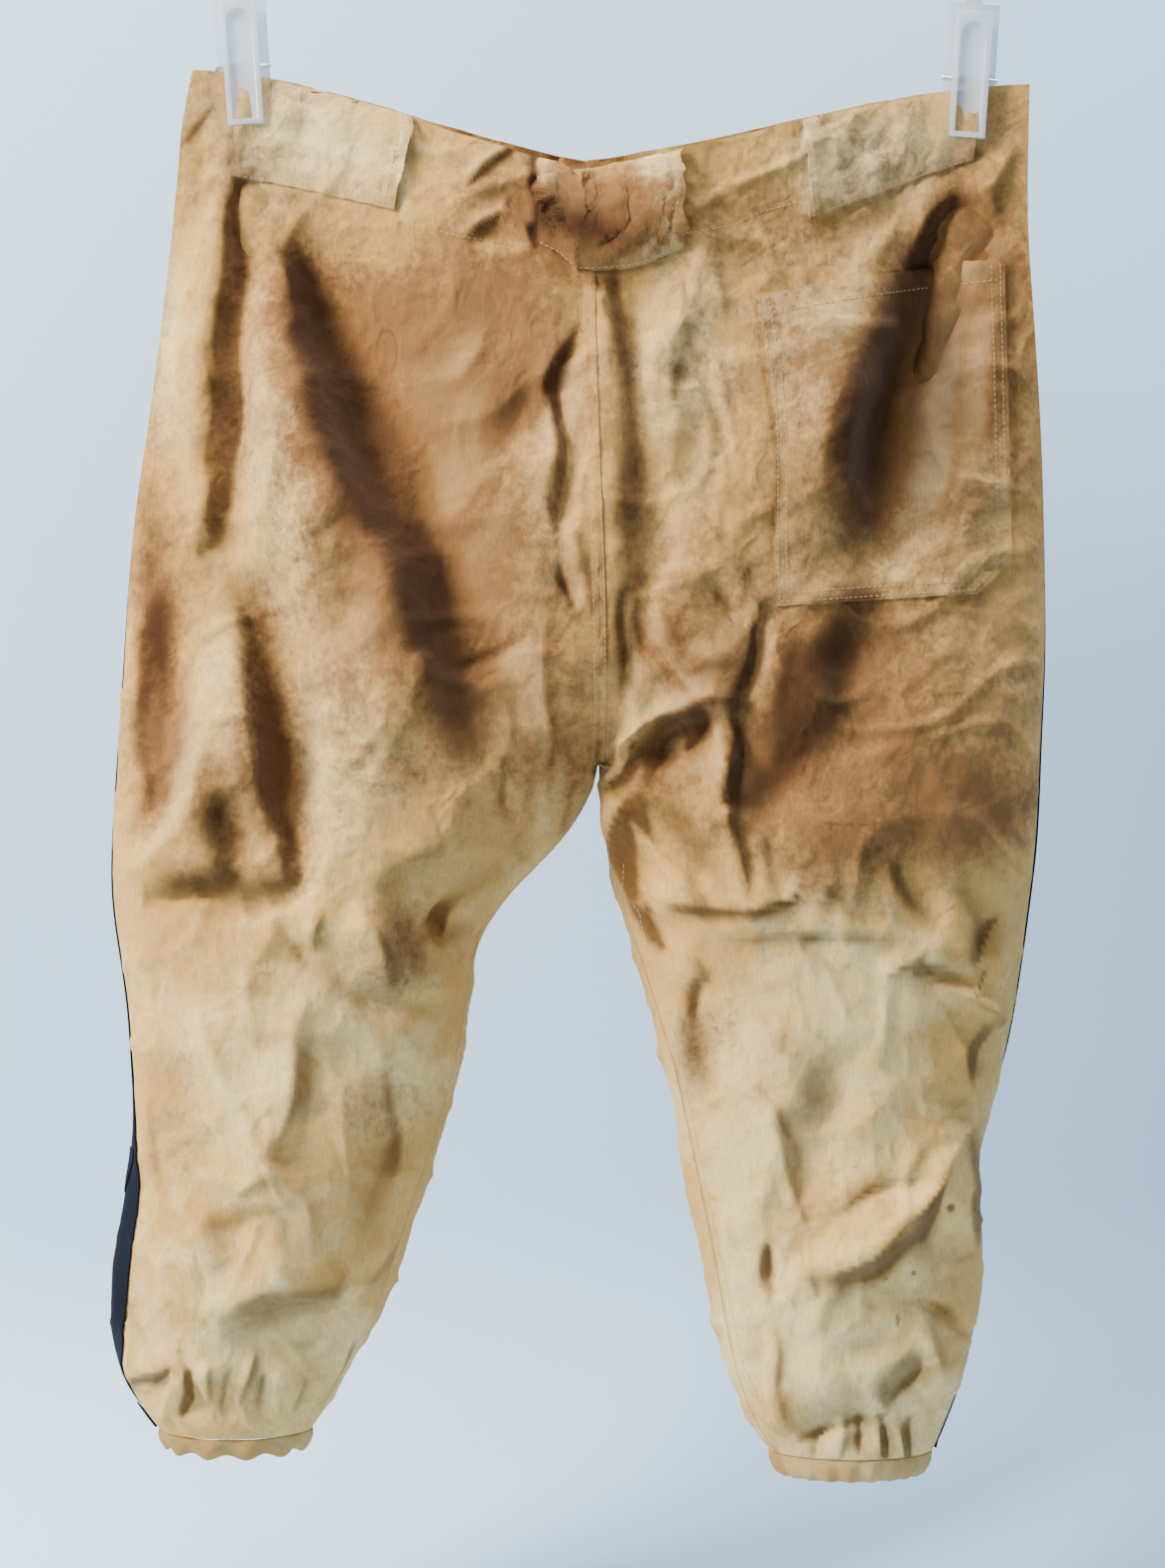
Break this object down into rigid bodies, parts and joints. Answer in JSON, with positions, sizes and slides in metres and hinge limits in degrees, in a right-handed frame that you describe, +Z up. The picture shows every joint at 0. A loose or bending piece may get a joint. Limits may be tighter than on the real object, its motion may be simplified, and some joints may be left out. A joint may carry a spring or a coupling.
{
  "type": "baseball pants on a clip hanger",
  "caption": "Vintage cream cotton baseball pants with gathered knee cuffs, wide belt tunnels and a back pocket, hung from two clear clips on a hanger",
  "frame": {"origin": "inner top of the hanger's hook, where it hangs on a rail", "axes": "+Z up, the seat faces -Y, the wearer's left leg is at -X"},
  "size_m": [0.5207, 0.1196, 0.9292],
  "materials": {
    "cloth": "heavy cotton twill, stained",
    "cloth_patches": "heavy cotton twill",
    "braid": "navy woven braid",
    "button": "horn button",
    "clear_plastic": "clear moulded plastic",
    "steel": "polished wire"
  },
  "bodies": {
    "root": {"back_left": "cloth", "back_right": "cloth", "front_left": "cloth", "front_right": "cloth", "casing_left": "cloth", "casing_right": "cloth", "tunnel_left": "cloth_patches", "tunnel_centre": "cloth_patches", "tunnel_right": "cloth_patches", "tunnel_front_left": "cloth_patches", "tunnel_front_right": "cloth_patches", "pocket_back": "cloth_patches", "fly_flap": "cloth_patches", "braid_left": "braid", "braid_right": "braid", "waist_button": "button", "clip_jaw_left": "clear_plastic", "clip_plate_left": "clear_plastic", "clip_spring_left": "steel", "clip_jaw_right": "clear_plastic", "clip_plate_right": "clear_plastic", "clip_spring_right": "steel", "hanger_rod": "steel", "hanger_ferrule": "steel", "hanger_hook": "steel"}
  },
  "joints": []
}
